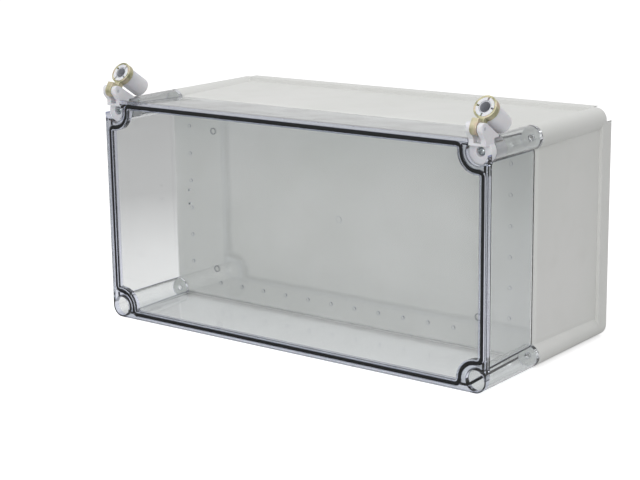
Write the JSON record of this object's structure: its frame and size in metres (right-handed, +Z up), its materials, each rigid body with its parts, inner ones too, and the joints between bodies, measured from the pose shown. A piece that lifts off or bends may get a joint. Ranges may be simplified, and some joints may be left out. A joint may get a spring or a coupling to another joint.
{
  "type": "hinged polycarbonate enclosure",
  "caption": "Deep two-part polycarbonate box: a clear half with a black rim seal and hinge sets in its upper towers, and a grey half standing behind it.",
  "frame": {"origin": "centre of the whole part's box, at the floor it stands on", "axes": "+X to the right along the width, +Y from the clear rim towards the grey rim, +Z up"},
  "size_m": [0.56, 0.2864, 0.3243],
  "materials": {
    "clear_polycarbonate": "clear, polished",
    "grey_polycarbonate": "light grey, satin",
    "gasket_foam": "black foamed seal",
    "white_nylon": "white, moulded",
    "yellow_zinc": "yellow chromate over zinc",
    "bright_steel": "zinc plated",
    "nut_brass": "turned",
    "grey_steel": "dull plated"
  },
  "bodies": {
    "clear_half": {"clear_cover": "clear_polycarbonate", "rim_gasket": "gasket_foam", "left_bracket": "white_nylon", "left_bracket_screw": "bright_steel", "left_wedge_nut": "nut_brass", "left_hinge_pin": "bright_steel", "right_bracket": "white_nylon", "right_bracket_screw": "bright_steel", "right_wedge_nut": "nut_brass", "right_hinge_pin": "bright_steel"},
    "grey_half": {"grey_base": "grey_polycarbonate"},
    "left_link_arm": {"left_link": "yellow_zinc"},
    "left_plug_set": {"left_plug": "white_nylon", "left_plug_tube": "grey_steel"},
    "right_link_arm": {"right_link": "yellow_zinc"},
    "right_plug_set": {"right_plug": "white_nylon", "right_plug_tube": "grey_steel"}
  },
  "joints": [
    {"name": "base_lift_off", "type": "slide", "parent": "clear_half", "child": "grey_half", "axis": [0, 1, 0], "range_m": [0, 0.25]},
    {"name": "left_link_swing", "type": "hinge", "parent": "clear_half", "child": "left_link_arm", "pos_m": [-0.266, -0.1356, 0.2924], "axis": [1, 0, 0], "range_deg": [0, 213.6]},
    {"name": "left_plug_turn", "type": "hinge", "parent": "left_link_arm", "child": "left_plug_set", "pos_m": [-0.266, -0.11549, 0.31073], "axis": [0, 0.8327, -0.5537], "continuous": true},
    {"name": "right_link_swing", "type": "hinge", "parent": "clear_half", "child": "right_link_arm", "pos_m": [0.266, -0.1356, 0.2924], "axis": [1, 0, 0], "range_deg": [0, 213.6]},
    {"name": "right_plug_turn", "type": "hinge", "parent": "right_link_arm", "child": "right_plug_set", "pos_m": [0.266, -0.11549, 0.31073], "axis": [0, 0.8327, -0.5537], "continuous": true}
  ]
}
